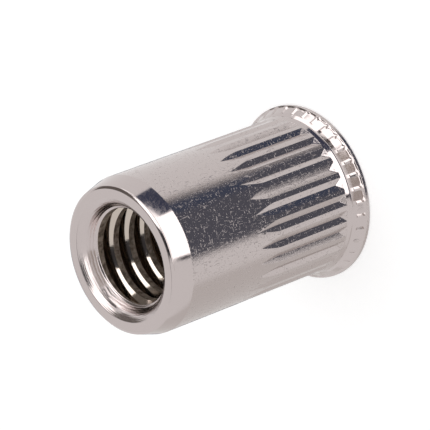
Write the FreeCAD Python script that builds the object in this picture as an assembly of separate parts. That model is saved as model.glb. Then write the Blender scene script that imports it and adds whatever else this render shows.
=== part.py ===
import FreeCAD, Part
import math
import os

# Rivet nut: a one-piece cold-formed blind fastener, standing on its head.
# Origin at the centre of the head's outer face, +Z along the axis towards the threaded foot.
# The screw enters through the head, passes the plain sleeve and meets the thread in the foot half.
# Lengths in millimetres.

# Shank
overall_length = 17.4
body_diameter = 11.0
foot_chamfer_width = 0.41
foot_chamfer_length = 1.45
foot_edge_break = 0.12

# Bore: thread core in the foot half, wider sleeve in the head half
thread_major_diameter = 7.94
thread_core_diameter = 6.7
thread_end_from_foot = 8.2
mouth_clearance = 0.32
mouth_depth = 0.94
mouth_flat_width = 0.55
mouth_flat_depth = 0.39
sleeve_wall = 0.9
sleeve_cone_angle_deg = 45.0
head_mouth_chamfer = 0.2

# Splines pressed into the sleeve half of the shank; the first one stands this far round from +X
spline_count = 30
first_spline_deg = 2.1
spline_width = 0.8
spline_depth = 0.19
spline_tip_from_foot = 7.7
spline_run_in_length = 1.85

# Reduced countersunk head, measured upwards from its outer face
head_overhang = 0.65
rim_height = 0.30
rim_edge_break = 0.06
bevel_height = 0.09
band_height = 0.50
band_rise = 0.24
ring_height = 0.23
ring_rise = 0.16
flare_rise = 0.10
flare_length = 0.38

# Serrations: ribs left between the pads struck under the head; the first one stands this far round from +X
serration_count = 38
first_serration_deg = 3.6
serration_width = 0.30
serration_height = 0.07

# Extra reach of a cutting shape beyond the surface that it cuts, and of a rib below the one it stands on
cut_margin = 0.5
rib_root = 0.03

# Radii and heights that follow from the sizes above
body_radius = body_diameter / 2
head_radius = body_radius + head_overhang
core_radius = thread_core_diameter / 2
sleeve_radius = body_radius - sleeve_wall
mouth_radius = thread_major_diameter / 2 + mouth_clearance
sleeve_cone_length = (sleeve_radius - core_radius) / math.tan(math.radians(sleeve_cone_angle_deg))

flare_radius = body_radius + flare_rise
ring_radius = flare_radius + ring_rise
band_base_radius = ring_radius + band_rise

bevel_top = rim_height + bevel_height
band_top = bevel_top + band_height
ring_top = band_top + ring_height
head_top = ring_top + flare_length

thread_end = overall_length - thread_end_from_foot
spline_tip = overall_length - spline_tip_from_foot
spline_full_depth = spline_tip - spline_run_in_length


def revolved(outline):
    """Solid of revolution about Z from a closed outline of (radius, height) points."""
    points = [FreeCAD.Vector(radius, 0, height) for radius, height in outline]
    face = Part.Face(Part.makePolygon(points + [points[0]]))
    return face.revolve(FreeCAD.Vector(0, 0, 0), FreeCAD.Vector(0, 0, 1), 360)


def vee(width, depth, surface_radius, height):
    """V-shaped section at angle zero, its point set into the surface and its arms standing clear of it."""
    slope = width / 2 / depth
    bottom = surface_radius - depth
    top = surface_radius + cut_margin
    half_width = (top - bottom) * slope
    corners = [
        FreeCAD.Vector(bottom, 0, height),
        FreeCAD.Vector(top, half_width, height),
        FreeCAD.Vector(top, -half_width, height),
    ]
    return Part.Face(Part.makePolygon(corners + [corners[0]]))


def around_axis(shape, count, first_deg):
    """Equal copies of a shape spaced round the Z axis, the first one turned from +X by first_deg."""
    copies = []
    for number in range(count):
        turned = shape.copy()
        angle = first_deg + 360 * number / count
        turned.rotate(FreeCAD.Vector(0, 0, 0), FreeCAD.Vector(0, 0, 1), angle)
        copies.append(turned)
    return copies


def spline_groove():
    """One groove: full depth from the head up to the run-in, then rising to a point on the surface."""
    section = vee(spline_width, spline_depth, body_radius, spline_full_depth)
    straight = section.extrude(FreeCAD.Vector(0, 0, -spline_full_depth))
    # The ramp goes on at the same slope until the point of the V is clear of the shank.
    rise = spline_depth + cut_margin
    length = spline_run_in_length * rise / spline_depth
    run_in = section.extrude(FreeCAD.Vector(rise, 0, length))
    return straight.fuse(run_in)


def shank():
    """Outer barrel with the foot chamfer and the ring of splines, still solid inside."""
    foot_radius = body_radius - foot_chamfer_width
    barrel = revolved([
        (0, 0),
        (body_radius, 0),
        (body_radius, overall_length - foot_chamfer_length),
        (foot_radius, overall_length - foot_edge_break),
        (foot_radius - foot_edge_break, overall_length),
        (0, overall_length),
    ])
    return barrel.cut(around_axis(spline_groove(), spline_count, first_spline_deg))


def serration_rib():
    """One rib: a ridge that runs down the slope of the band until it sinks into the rim."""
    root = ring_radius - rib_root
    half_width = serration_width / 2 * (serration_height + rib_root) / serration_height
    corners = [
        FreeCAD.Vector(ring_radius + serration_height, 0, band_top),
        FreeCAD.Vector(root, half_width, band_top),
        FreeCAD.Vector(root, -half_width, band_top),
    ]
    section = Part.Face(Part.makePolygon(corners + [corners[0]]))
    run = band_height + bevel_height
    return section.extrude(FreeCAD.Vector(band_rise * run / band_height, 0, -run))


def head():
    """Rim, plain band, smooth ring and the flare that closes the splines, still solid inside."""
    flare_slope = flare_rise / flare_length
    root_depth = spline_depth + cut_margin
    return revolved([
        (0, 0),
        (head_radius - rim_edge_break, 0),
        (head_radius, rim_edge_break),
        (head_radius, rim_height),
        (band_base_radius, bevel_top),
        (ring_radius, band_top),
        (flare_radius, ring_top),
        (body_radius - root_depth, head_top + root_depth / flare_slope),
        (0, head_top + root_depth / flare_slope),
    ])


def bore():
    """The hollow: head mouth, sleeve, cone, thread core and the foot mouth, which opens in two steps."""
    return revolved([
        (0, -cut_margin),
        (sleeve_radius + head_mouth_chamfer + cut_margin, -cut_margin),
        (sleeve_radius, head_mouth_chamfer),
        (sleeve_radius, thread_end - sleeve_cone_length),
        (core_radius, thread_end),
        (core_radius, overall_length - mouth_depth),
        (mouth_radius - mouth_flat_width, overall_length - mouth_flat_depth),
        (mouth_radius, overall_length),
        (mouth_radius, overall_length + cut_margin),
        (0, overall_length + cut_margin),
    ])


def rivet_nut():
    """The whole nut as one solid."""
    plain = shank().fuse(head()).cut(bore())
    serrations = around_axis(serration_rib(), serration_count, first_serration_deg)
    return plain.fuse(serrations).removeSplitter().Solids[0]


os.makedirs("parts", exist_ok=True)
rivet_nut().exportStep("parts/rivet_nut.step")
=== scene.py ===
import math

import bmesh
import bpy
from mathutils import Matrix, Vector


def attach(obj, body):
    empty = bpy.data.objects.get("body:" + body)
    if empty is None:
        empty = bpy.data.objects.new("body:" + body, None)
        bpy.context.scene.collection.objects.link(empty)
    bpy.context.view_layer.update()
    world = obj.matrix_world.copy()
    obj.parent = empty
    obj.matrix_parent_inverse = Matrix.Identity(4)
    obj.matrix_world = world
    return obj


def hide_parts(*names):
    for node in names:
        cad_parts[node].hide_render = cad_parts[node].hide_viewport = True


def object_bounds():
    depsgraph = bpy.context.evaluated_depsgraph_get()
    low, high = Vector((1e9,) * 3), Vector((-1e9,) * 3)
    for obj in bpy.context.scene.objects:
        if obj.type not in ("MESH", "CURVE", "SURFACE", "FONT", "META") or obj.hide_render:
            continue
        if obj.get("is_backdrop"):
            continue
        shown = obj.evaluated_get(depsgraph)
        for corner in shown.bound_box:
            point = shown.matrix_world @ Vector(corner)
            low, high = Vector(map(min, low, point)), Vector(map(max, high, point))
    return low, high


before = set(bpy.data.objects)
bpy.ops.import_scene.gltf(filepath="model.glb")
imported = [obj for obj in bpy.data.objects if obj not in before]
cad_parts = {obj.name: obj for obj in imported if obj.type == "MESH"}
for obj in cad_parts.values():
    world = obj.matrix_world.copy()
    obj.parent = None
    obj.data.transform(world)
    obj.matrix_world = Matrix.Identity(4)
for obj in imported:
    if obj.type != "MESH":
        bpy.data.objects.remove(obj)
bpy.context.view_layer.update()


# The nut: one length of stainless wire, cold-headed into a hollow sleeve with a small countersunk
# head, with splines rolled round the sleeve, pads struck between ribs under the head, and the foot
# turned. It is modelled standing on its head, in millimetres, and made metres when it is whole.

millimetre = 0.001
overall_length = 17.4
body_radius = 5.5
foot_chamfer_width = 0.41
foot_chamfer_length = 1.45
# The edge between the chamfer and the foot's face is broken by a narrow facet.
facet_width = 0.19
facet_height = 0.11
facet_radius = body_radius - foot_chamfer_width * (1 - facet_height / foot_chamfer_length)

core_radius = 3.35
sleeve_radius = 4.6
thread_end = 9.2
sleeve_end = thread_end - (sleeve_radius - core_radius)
head_mouth_chamfer = 0.2
mouth_radius = 4.29
# The countersink's wall swells towards the axis, so it starts flat and ends steep.
mouth_corners = [(3.951, 17.188), (3.771, 16.974), (3.515, 16.45)]
# A small lip is left where the countersink broke into the bore.
lip_edge = (3.42, 16.40)
core_start = 16.36

head_radius = 6.15
rim_top = 0.30
pad_base = (6.02, 0.345)
pad_top = (5.76, 0.89)
# A hair of a step ends the pads and ribs where the smooth ring begins.
ring_base = (pad_top[0] - 0.005, pad_top[1] + 0.01)
collar_radius = 5.6
collar_base = 1.12
flare_base = 1.20
flare_end = 1.50
flare_slope = (collar_radius - body_radius) / (flare_end - flare_base)

spline_count = 30
first_spline_deg = 2.1
spline_width = 0.8
spline_depth = 0.19
spline_full_depth = 7.85
spline_tip = 9.7
# The flare closes the splines over this stretch, and above it they are whole.
splines_whole = flare_end + spline_depth / flare_slope + 0.03
# Beyond the tips the shank is plain.
plain_shank = spline_tip + 0.6

serration_count = 38
first_serration_deg = 3.6
serration_width = 0.30
serration_height = 0.07

# 19 steps to a spline and 15 to a serration, so that every one of either kind has the same facets.
steps_round = 570
step_deg = 360 / steps_round

# Corners of the half-section: radius, height, and how far each is rounded over.
corners = [
    (sleeve_radius + head_mouth_chamfer, 0, 0.03),
    (head_radius, 0, 0.07),
    (head_radius, rim_top, 0.03),
    (*pad_base, 0.05),
    (*pad_top, 0),
    (*ring_base, 0),
    (collar_radius, collar_base, 0.02),
    (collar_radius, flare_base, 0.03),
    (body_radius, flare_end, 0.04),
    (body_radius, splines_whole, 0),
    (body_radius, spline_full_depth, 0),
    (body_radius, spline_tip, 0),
    (body_radius, plain_shank, 0),
    (body_radius, overall_length - foot_chamfer_length, 0.04),
    (facet_radius, overall_length - facet_height, 0.04),
    (facet_radius - facet_width, overall_length, 0.04),
    (mouth_radius, overall_length, 0.03),
    (*mouth_corners[0], 0.13),
    (*mouth_corners[1], 0.13),
    (*mouth_corners[2], 0.02),
    (*lip_edge, 0.015),
    (core_radius, core_start, 0.02),
    (core_radius, thread_end, 0.05),
    (sleeve_radius, sleeve_end, 0.08),
    (sleeve_radius, head_mouth_chamfer, 0.03),
]

# Steps round a corner by its rounding: most where the outline turns furthest.
corner_steps = {0.07: 6, 0.03: 6, 0.04: 5, 0.13: 5}
other_steps = 4

nut = bmesh.new()
ring = [nut.verts.new((radius, 0, height)) for radius, height, _ in corners]
nut.faces.new(ring)
for rounding in sorted({size for _, _, size in corners if size}):
    rounded = [vert for vert, corner in zip(ring, corners) if corner[2] == rounding]
    bmesh.ops.bevel(
        nut, geom=rounded, offset=rounding, offset_type="OFFSET", affect="VERTICES",
        segments=corner_steps.get(rounding, other_steps), profile=0.5, material=-1,
    )
bmesh.ops.delete(nut, geom=nut.faces[:], context="FACES_ONLY")

# More rows along the serrated band, where the flare closes the splines and where they run in.
# Only long edges on the outside are divided, each by the number of cuts that its stretch needs.
skin = 0.05
shortest = 0.1
margin = 1e-4
for low, high, cuts in [
    (pad_base[1], pad_top[1], 5),
    (flare_end, splines_whole, 12),
    (splines_whole, spline_full_depth, 1),
    (spline_full_depth, spline_tip, 14),
    (spline_tip, plain_shank, 1),
]:
    stretch = [
        edge for edge in nut.edges
        if edge.calc_length() > shortest and all(
            vert.co.x > body_radius - skin and low - margin < vert.co.z < high + margin
            for vert in edge.verts
        )
    ]
    bmesh.ops.subdivide_edges(nut, edges=stretch, cuts=cuts)


def sweep(shape, angle, steps, rise=0.0, copies=False):
    """Sweeps a whole shape round the Z axis, or copies it round, with this rise at each step."""
    bmesh.ops.spin(
        shape, geom=shape.verts[:] + shape.edges[:] + shape.faces[:],
        cent=(0, 0, 0), axis=(0, 0, 1), dvec=(0, 0, rise),
        angle=angle, steps=steps, use_merge=False, use_duplicate=copies,
    )


spline_steps = steps_round // spline_count
sector = math.tau / spline_count
start = Matrix.Rotation(math.radians(first_spline_deg), 3, "Z")
bmesh.ops.rotate(nut, verts=nut.verts, cent=(0, 0, 0), matrix=start)
sweep(nut, sector, spline_steps)
sweep(nut, math.tau - sector, spline_count - 1, copies=True)
bmesh.ops.remove_doubles(nut, verts=nut.verts, dist=1e-3)
bmesh.ops.recalc_face_normals(nut, faces=nut.faces)

# The splines are pressed in: each is a V that keeps its slope as it runs out to a point on the
# shank, deepening fastest at the point. Its steps are gathered between its edges.
half_spline_deg = math.degrees(spline_width / 2 / body_radius)
wall_slope = spline_depth / (spline_width / 2)
wall_steps = 7
half_tip_deg = 1.0
run_in_bow = 1.35

# The ribs between the struck pads spread at their foot, so that each pad ends in round corners.
serration_steps = steps_round // serration_count
serration_start = round((first_serration_deg - first_spline_deg) / step_deg)
half_serration_deg = math.degrees(serration_width / 2 / pad_top[0])
rib_steps = 3
rib_foot = 0.16
rib_spread = 1.3
rib_low = rim_top + 0.02
hair = 0.001


def from_middle(step, steps):
    """How many steps a step lies from the middle of the spline or rib that it belongs to."""
    return (step + steps // 2) % steps - steps // 2


def spread(place, inner_steps, inner_deg, pitch_steps, pitch_deg):
    """Angle from the middle of the step at this place, with the steps gathered to the edges."""
    inside = min(abs(place), inner_steps)
    outside = abs(place) - inside
    outer_deg = (pitch_deg / 2 - inner_deg) / (pitch_steps / 2 - inner_steps)
    return math.copysign(inside / inner_steps * inner_deg + outside * outer_deg, place)


for vert in nut.verts:
    radius = math.hypot(vert.co.x, vert.co.y)
    height = vert.co.z
    step = round((math.degrees(math.atan2(vert.co.y, vert.co.x)) - first_spline_deg) / step_deg)
    on_shank = radius > body_radius - skin and flare_base < height < spline_tip + hair
    on_band = radius > pad_top[0] - hair and rib_low < height < pad_top[1] + hair
    if on_shank:
        run_in = min(1.0, max(0.0, (spline_tip - height) / (spline_tip - spline_full_depth)))
        depth = spline_depth * (1 - (1 - run_in) ** run_in_bow)
        place = from_middle(step, spline_steps)
        middle = first_spline_deg + (step - place) * step_deg
        half_deg = max(half_tip_deg, half_spline_deg * depth / spline_depth)
        aside = spread(place, wall_steps, half_deg, spline_steps, 360 / spline_count)
        pressed = max(0.0, depth - math.radians(abs(aside)) * body_radius * wall_slope)
        flare = max(0.0, (height - flare_end) * flare_slope)
        radius -= min(pressed, flare)
    elif on_band:
        place = from_middle(step - serration_start, serration_steps)
        rib = (step - serration_start - place) // serration_steps
        middle = first_serration_deg + rib * 360 / serration_count
        foot = max(0.0, 1 - (height - pad_base[1]) / rib_foot)
        half_deg = half_serration_deg * (1 + rib_spread * foot ** 2)
        aside = spread(place, rib_steps, half_deg, serration_steps, 360 / serration_count)
        run_out = min(1.0, (height - rim_top) / (pad_base[1] - rim_top))
        radius += serration_height * run_out * max(0.0, 1 - abs(place) / rib_steps)
    else:
        continue
    turn = math.radians(middle + aside)
    vert.co.x, vert.co.y = radius * math.cos(turn), radius * math.sin(turn)


# The thread: tapped right-handed, 18 turns to the inch, from the foot until it runs out in the
# sleeve. The tap's tooth is a 60 degree V with a narrow flat at its tip, and opens by 4 degrees a
# side towards the crests that it leaves. It reaches a little way into the open bore.
thread_pitch = 25.4 / 18
thread_radius = 3.97
tooth_tip = thread_pitch / 10
tooth_flank = math.tan(math.radians(30))
tooth_root = core_radius - 0.15
crest_depth = 0.34
crest_flank = math.tan(math.radians(34))
tap_steps = 144
tap_turns = 8
tap_low = sleeve_end - 0.2
# Height of a groove's middle where the helix passes +X
tap_phase = 1.046

crest_radius = core_radius + crest_depth
crest_side = tooth_tip / 2 + (thread_radius - crest_radius) * tooth_flank
tooth = [
    (tooth_root, crest_side + (crest_radius - tooth_root) * crest_flank),
    (crest_radius, crest_side),
    (thread_radius, tooth_tip / 2),
]
tap_start = tap_phase + thread_pitch * math.ceil((tap_low - tap_phase) / thread_pitch)

tap = bmesh.new()
outline = [(radius, -side) for radius, side in tooth]
outline += [(radius, side) for radius, side in reversed(tooth)]
loop = [tap.verts.new((radius, 0, tap_start + side)) for radius, side in outline]
for first, second in zip(loop, loop[1:] + loop[:1]):
    tap.edges.new((first, second))
sweep(tap, math.tau, tap_steps, rise=thread_pitch / tap_steps)
sweep(tap, 0, tap_turns - 1, rise=thread_pitch, copies=True)
bmesh.ops.remove_doubles(tap, verts=tap.verts, dist=1e-3)
bmesh.ops.holes_fill(tap, edges=tap.edges, sides=0)
bmesh.ops.recalc_face_normals(tap, faces=tap.faces)

# The mouth was opened after tapping, and closed the groove next to it: heights of the groove's
# middle where it is still whole and where it is gone. From there the tooth stays in the open bore.
groove_whole = 15.58
groove_closed = 16.40
least_share = -0.1
for vert in tap.verts:
    radius = math.hypot(vert.co.x, vert.co.y)
    rise = tap_phase + thread_pitch * math.atan2(vert.co.y, vert.co.x) / math.tau
    groove = rise + thread_pitch * round((vert.co.z - rise) / thread_pitch)
    if radius > core_radius:
        share = (groove_closed - groove) / (groove_closed - groove_whole)
        kept = core_radius + (radius - core_radius) * min(1.0, max(least_share, share))
        vert.co.x *= kept / radius
        vert.co.y *= kept / radius


def finish_mesh(shape, name, scale):
    """A new object from a bmesh, scaled in its mesh, with the object itself at the origin."""
    bmesh.ops.scale(shape, vec=(scale,) * 3, verts=shape.verts)
    mesh = bpy.data.meshes.new(name)
    shape.to_mesh(mesh)
    shape.free()
    made = bpy.data.objects.new(name, mesh)
    bpy.context.scene.collection.objects.link(made)
    return made


nut = finish_mesh(nut, "nut", 1.0)
tap = finish_mesh(tap, "tap", 1.0)
cut = nut.modifiers.new("thread", "BOOLEAN")
cut.operation = "DIFFERENCE"
cut.solver = "MANIFOLD"
cut.object = tap
tapped = nut.evaluated_get(bpy.context.evaluated_depsgraph_get())
nut.data = bpy.data.meshes.new_from_object(tapped)
nut.modifiers.clear()
bpy.data.objects.remove(tap)
nut.data.transform(Matrix.Scale(millimetre, 4))

# Edges that turn by more than this stay sharp. Broad faces keep their own slope, and only the
# rounded corners between them turn the light.
sharp_deg = 17
nut.data.polygons.foreach_set("use_smooth", [True] * len(nut.data.polygons))
nut.data.set_sharp_from_angle(angle=math.radians(sharp_deg))
even = nut.modifiers.new("even_shading", "WEIGHTED_NORMAL")
even.keep_sharp = True


def linear(code):
    """sRGB hex to a linear RGBA colour."""
    parts = [int(code[place:place + 2], 16) / 255 for place in (1, 3, 5)]
    return [
        part / 12.92 if part <= 0.04045 else ((part + 0.055) / 1.055) ** 2.4 for part in parts
    ] + [1.0]


def add_node(tree, kind, inputs=None, **settings):
    """Adds a node, sets its properties, and fills or links its inputs."""
    made = tree.nodes.new(kind)
    for name, value in settings.items():
        setattr(made, name, value)
    for name, value in (inputs or {}).items():
        if isinstance(value, bpy.types.NodeSocket):
            tree.links.new(value, made.inputs[name])
        else:
            made.inputs[name].default_value = value
    return made


def new_material(name):
    """An empty node material and its tree."""
    made = bpy.data.materials.new(name)
    made.use_nodes = True
    made.node_tree.nodes.clear()
    return made, made.node_tree


# Tumbled stainless steel: bright drawn metal, barrel-tumbled, so its shine is broken by tiny dents
# and short scratches in every direction. They glint where the steel mirrors something dark.
tumbled_steel, tree = new_material("tumbled_stainless_steel")
bare_steel = linear("#BEB4B2")
place = add_node(tree, "ShaderNodeTexCoord").outputs["Object"]
# Dents are about 0.1 mm across, in patches of about half a millimetre.
dents = add_node(tree, "ShaderNodeTexNoise", {
    "Vector": place, "Scale": 9000, "Detail": 4, "Roughness": 0.7,
})
patches = add_node(tree, "ShaderNodeTexNoise", {
    "Vector": place, "Scale": 1800, "Detail": 3, "Roughness": 0.6,
})
# Scratches are about 0.1 mm wide and half a millimetre long, in three directions.
marks = None
for lie, grain_scale in [
    ((0.3, 0.5, 0.2), (9000, 1900, 9000)),
    ((1.2, 0.2, 2.0), (2000, 9500, 9000)),
    ((0.7, 2.4, 1.1), (9000, 9500, 1900)),
]:
    turned = add_node(tree, "ShaderNodeMapping", {
        "Vector": place, "Rotation": lie, "Scale": grain_scale,
    })
    streak = add_node(tree, "ShaderNodeTexNoise", {
        "Vector": turned.outputs[0], "Scale": 1.0, "Detail": 2, "Roughness": 0.5,
    })
    kept = add_node(tree, "ShaderNodeMapRange", {
        "Value": streak.outputs["Fac"], "From Min": 0.63, "From Max": 0.75,
    })
    if marks is None:
        marks = kept
    else:
        marks = add_node(tree, "ShaderNodeMath", {
            0: marks.outputs[0], 1: kept.outputs[0],
        }, operation="MAXIMUM")
haze = add_node(tree, "ShaderNodeMapRange", {
    "Value": patches.outputs["Fac"], "From Min": 0.35, "From Max": 0.7,
    "To Min": 0.10, "To Max": 0.17,
})
gloss = add_node(tree, "ShaderNodeMath", {
    0: marks.outputs[0], 1: 0.55, 2: haze.outputs[0],
}, operation="MULTIPLY_ADD")
height = add_node(tree, "ShaderNodeMath", {
    0: marks.outputs[0], 1: dents.outputs["Fac"],
}, operation="ADD")
relief = add_node(tree, "ShaderNodeBump", {
    "Height": height.outputs[0], "Strength": 0.55, "Distance": 0.00001,
})
shader = add_node(tree, "ShaderNodeBsdfPrincipled", {
    "Base Color": bare_steel, "Metallic": 1.0,
    "Roughness": gloss.outputs[0], "Normal": relief.outputs[0],
})
add_node(tree, "ShaderNodeOutputMaterial", {"Surface": shader.outputs[0]})

# Turned and struck stainless steel: the foot's face and chamfer and the head's underside, which
# the tool left smoother than the shank.
turned_steel, tree = new_material("turned_stainless_steel")
place = add_node(tree, "ShaderNodeTexCoord").outputs["Object"]
tool_marks = add_node(tree, "ShaderNodeTexNoise", {
    "Vector": place, "Scale": 5000, "Detail": 4, "Roughness": 0.6,
})
gloss = add_node(tree, "ShaderNodeMapRange", {
    "Value": tool_marks.outputs["Fac"], "From Min": 0.35, "From Max": 0.7,
    "To Min": 0.08, "To Max": 0.16,
})
shader = add_node(tree, "ShaderNodeBsdfPrincipled", {
    "Base Color": bare_steel, "Metallic": 1.0, "Roughness": gloss.outputs[0],
})
add_node(tree, "ShaderNodeOutputMaterial", {"Surface": shader.outputs[0]})

# Countersunk stainless steel: the mouth, scored round by the tool that opened it, so that it
# mirrors only softly. The scores are 0.1 mm apart, which is a little coarser than the real ones.
scored_steel, tree = new_material("countersunk_stainless_steel")
place = add_node(tree, "ShaderNodeTexCoord").outputs["Object"]
scores = add_node(tree, "ShaderNodeTexWave", {
    "Vector": place, "Scale": 3200, "Distortion": 2.5, "Detail": 3, "Detail Scale": 0.6,
}, wave_type="RINGS", rings_direction="Z")
gloss = add_node(tree, "ShaderNodeMapRange", {
    "Value": scores.outputs["Fac"], "To Min": 0.13, "To Max": 0.25,
})
relief = add_node(tree, "ShaderNodeBump", {
    "Height": scores.outputs["Fac"], "Strength": 0.3, "Distance": 0.00001,
})
shader = add_node(tree, "ShaderNodeBsdfPrincipled", {
    "Base Color": bare_steel, "Metallic": 1.0,
    "Roughness": gloss.outputs[0], "Normal": relief.outputs[0],
})
add_node(tree, "ShaderNodeOutputMaterial", {"Surface": shader.outputs[0]})

# Tapped stainless steel: the flanks of the thread, cut under oil and burnished by the tap.
tapped_steel, tree = new_material("tapped_stainless_steel")
place = add_node(tree, "ShaderNodeTexCoord").outputs["Object"]
tears = add_node(tree, "ShaderNodeTexNoise", {"Vector": place, "Scale": 7000, "Detail": 4})
gloss = add_node(tree, "ShaderNodeMapRange", {
    "Value": tears.outputs["Fac"], "To Min": 0.04, "To Max": 0.14,
})
shader = add_node(tree, "ShaderNodeBsdfPrincipled", {
    "Base Color": linear("#BDB2A8"), "Metallic": 1.0, "Roughness": gloss.outputs[0],
})
add_node(tree, "ShaderNodeOutputMaterial", {"Surface": shader.outputs[0]})

# Bored stainless steel: the wall of the bore, left as the punch drew it, brownish and grained.
bored_steel, tree = new_material("bored_stainless_steel")
place = add_node(tree, "ShaderNodeTexCoord").outputs["Object"]
grain = add_node(tree, "ShaderNodeTexNoise", {
    "Vector": place, "Scale": 6000, "Detail": 4, "Roughness": 0.7,
})
gloss = add_node(tree, "ShaderNodeMapRange", {
    "Value": grain.outputs["Fac"], "From Min": 0.35, "From Max": 0.65,
    "To Min": 0.45, "To Max": 0.8,
})
relief = add_node(tree, "ShaderNodeBump", {
    "Height": grain.outputs["Fac"], "Strength": 0.8, "Distance": 0.00003,
})
blotch = add_node(tree, "ShaderNodeTexNoise", {
    "Vector": place, "Scale": 2600, "Detail": 5, "Roughness": 0.7,
})
share = add_node(tree, "ShaderNodeMapRange", {
    "Value": blotch.outputs["Fac"], "From Min": 0.4, "From Max": 0.6,
})
# Sockets of the Mix node that take and give colours
dark_socket, light_socket, mixed_socket = 6, 7, 2
tone = add_node(tree, "ShaderNodeMix", {
    "Factor": share.outputs[0], dark_socket: linear("#786C62"), light_socket: linear("#B4A89C"),
}, data_type="RGBA")
shader = add_node(tree, "ShaderNodeBsdfPrincipled", {
    "Base Color": tone.outputs[mixed_socket], "Metallic": 1.0,
    "Roughness": gloss.outputs[0], "Normal": relief.outputs[0],
})
add_node(tree, "ShaderNodeOutputMaterial", {"Surface": shader.outputs[0]})

# Each face has the finish of the tool that made it. Crests are what is left of the bore's wall.
chamfer_base = overall_length - foot_chamfer_length + 0.1
bore_edge = sleeve_radius + 0.01
thread_edge = thread_radius + 0.01
crest_edge = core_radius + 0.03
crest_facing = 0.95

finishes = [tumbled_steel, turned_steel, tapped_steel, bored_steel, scored_steel]
nut.data.materials.clear()
for finish in finishes:
    nut.data.materials.append(finish)
for face in nut.data.polygons:
    out = math.hypot(face.center.x, face.center.y)
    radius = out / millimetre
    height = face.center.z / millimetre
    facing = abs(face.normal.x * face.center.x + face.normal.y * face.center.y) / out
    in_mouth = height > core_start and core_radius < radius < mouth_radius
    on_head = rim_top < height < flare_end and radius > body_radius
    on_foot = height > chamfer_base and radius > mouth_radius
    on_crest = facing > crest_facing and radius < crest_edge
    if in_mouth:
        finish = scored_steel
    elif on_head or on_foot:
        finish = turned_steel
    elif radius > bore_edge:
        finish = tumbled_steel
    elif height > sleeve_end and radius < thread_edge and not on_crest:
        finish = tapped_steel
    else:
        finish = bored_steel
    face.material_index = finishes.index(finish)

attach(nut, "root")
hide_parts("rivet_nut")


# The studio: a white table, a soft light overhead, and cards that only the steel's reflections
# show, as they are stood round polished metal. The steel mirrors the room through the table, as
# over a table of clear glass, so the cards below it count too. Their distances are in millimetres.

card_steps = 24
far = 1000
behind_far = 1010
near = 42


def screen(name, from_deg, to_deg, low_deg, high_deg, colour, strength=1.0, distance=far):
    """A glowing card between two angles round the axis and two above the table.

    The angles round the axis go from the camera's side towards -X.
    """
    shape = bmesh.new()
    side = [
        shape.verts.new((0, -distance * math.cos(tilt), distance * math.sin(tilt)))
        for tilt in (math.radians(low_deg), math.radians(high_deg))
    ]
    shape.edges.new(side)
    start = Matrix.Rotation(-math.radians(from_deg), 3, "Z")
    bmesh.ops.rotate(shape, verts=side, cent=(0, 0, 0), matrix=start)
    sweep(shape, -math.radians(to_deg - from_deg), card_steps)
    card = finish_mesh(shape, name, millimetre)
    paint, tree = new_material(name)
    glow = add_node(tree, "ShaderNodeEmission", {"Color": linear(colour), "Strength": strength})
    add_node(tree, "ShaderNodeOutputMaterial", {"Surface": glow.outputs[0]})
    card.data.materials.append(paint)
    card.visible_camera = card.visible_diffuse = False
    card.visible_shadow = card.visible_transmission = False
    card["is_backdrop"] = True


# Low down: the dark that the shank mirrors, with soft edges.
screen("blue_band", -50, -34, -60, -17, "#4C566C")
screen("dark_band", -34, 32.5, -60, -17, "#646772")
screen("band_edge", 32.5, 34, -60, -17, "#8A8482")
screen("band_edge_1", -53.5, -50, -60, -17, "#7A7A80")
screen("band_edge_2", -57, -53.5, -60, -17, "#A5A3A2")
screen("band_edge_3", -61, -57, -60, -17, "#CFCCC9")
screen("grey_wing", 70, 165, -60, -17, "#E8E6E4", distance=behind_far)
screen("back_band", 166, 194, -60, -17, "#656977")
# At the table's height: what the chamfer, the flare and the serrations mirror.
screen("white_strip", -36, 22, -16.9, -1, "#FFFFFF", strength=2.6)
screen("white_strip_upper", -36, 8, -1, 6.5, "#FFFFFF", strength=2.6)
screen("dark_line", 22, 27, -16.9, -4, "#45434A")
screen("dark_side", -78, -36, -16.9, -4.5, "#494F65")
screen("white_side", -102, -36, -4.5, 14, "#FFFFFF", strength=2.4)
screen("rib_dark", 27, 41, -1.5, 4.6, "#3C3C40", distance=near)
screen("brown_wall", -33, 38, 6.5, 20, "#C0B7B1")
screen("ring_white", -38, 24, 22, 29, "#FFFFFF", strength=2.4, distance=near)
screen("ring_dark", -85, -38, 15, 30, "#5E5A5C")
# Higher: the bright sheet in front, the soft box at the left and the dark room above them.
screen("front_sheet", -40, 32, 36, 68, "#FFFFFF", strength=2.4)
screen("soft_box", -104, -44, 43, 77, "#FFFFFF", strength=3.0)
screen("dark_wall", -150, -104, 20, 60, "#77726E")
screen("canopy", 160, 256, 50, 78, "#9C9896")
screen("dark_ceiling", -180, 48, 68, 90, "#3C3C40", distance=behind_far)
screen("dark_zenith", 48, 180, 79, 90, "#3C3C40", distance=behind_far)


def plainly_seen(tree):
    """1 for what the camera, mirrors and glass see, and 0 for the light that falls on things."""
    rays = add_node(tree, "ShaderNodeLightPath")
    seen = rays.outputs["Is Camera Ray"]
    for kind in ("Is Glossy Ray", "Is Transmission Ray"):
        seen = add_node(tree, "ShaderNodeMath", {
            0: seen, 1: rays.outputs[kind],
        }, operation="MAXIMUM").outputs[0]
    return seen


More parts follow.
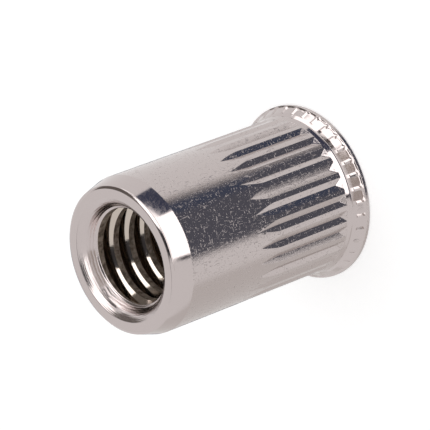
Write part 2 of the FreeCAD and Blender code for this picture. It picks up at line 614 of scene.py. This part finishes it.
# The table's top lies a hair below the nut, so that the two faces don't share a plane.
table_radius = 900
table_top = -0.02
table_glow = 0.46
table = bmesh.new()
bmesh.ops.create_circle(
    table, cap_ends=True, segments=96, radius=table_radius,
    matrix=Matrix.Translation((0, 0, table_top)),
)
table = finish_mesh(table, "table", millimetre)
table_white, tree = new_material("white_table")
paper = add_node(tree, "ShaderNodeBsdfDiffuse", {"Color": linear("#F2F2F2")})
lit = add_node(tree, "ShaderNodeMath", {
    0: plainly_seen(tree), 1: table_glow,
}, operation="MULTIPLY")
glow = add_node(tree, "ShaderNodeEmission", {
    "Color": linear("#FFFFFF"), "Strength": lit.outputs[0],
})
both = add_node(tree, "ShaderNodeAddShader", {0: paper.outputs[0], 1: glow.outputs[0]})
add_node(tree, "ShaderNodeOutputMaterial", {"Surface": both.outputs[0]})
table.data.materials.append(table_white)
table.visible_glossy = False
table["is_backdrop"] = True

# A broad, weak lamp overhead.
lamp = bpy.data.lights.new("overhead_lamp", "AREA")
lamp.shape = "DISK"
lamp.size = 0.35
lamp.energy = 0.2
lamp_stand = bpy.data.objects.new("overhead_lamp", lamp)
bpy.context.scene.collection.objects.link(lamp_stand)
lamp_stand.location = (0.12, 0.05, 0.40)
lamp_stand.rotation_euler = (-lamp_stand.location).to_track_quat("-Z", "Y").to_euler()
lamp_stand.visible_glossy = False

# The room is white where it is seen, and lights things at a little more than half of that.
room_light = 0.6
world = bpy.data.worlds.new("white_room")
world.use_nodes = True
world.node_tree.nodes.clear()
tree = world.node_tree
level = add_node(tree, "ShaderNodeMapRange", {
    "Value": plainly_seen(tree), "To Min": room_light, "To Max": 1.0,
})
air = add_node(tree, "ShaderNodeBackground", {
    "Color": linear("#FFFFFF"), "Strength": level.outputs[0],
})
add_node(tree, "ShaderNodeOutputWorld", {"Surface": air.outputs[0]})
bpy.context.scene.world = world

bpy.context.scene.view_settings.view_transform = "Standard"

# The camera looks down from 40 degrees above the table, turned until the foot points down to the
# left.
camera = bpy.data.cameras.new("camera")
camera.sensor_width = 36.0
camera.lens = 325.07
camera.clip_start = 0.01
camera.clip_end = 10.0
viewer = bpy.data.objects.new("camera", camera)
bpy.context.scene.collection.objects.link(viewer)
right = Vector((-0.352961, -0.600157, -0.717796))
up = Vector((0.935635, -0.228397, -0.269114))
back = Vector((-0.002432, -0.766581, 0.642143))
viewer.rotation_mode = "QUATERNION"
viewer.rotation_quaternion = Matrix((right, up, back)).transposed().to_quaternion()
viewer.location = (0.0, -0.2008177, 0.1766045)
bpy.context.scene.camera = viewer

low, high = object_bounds()
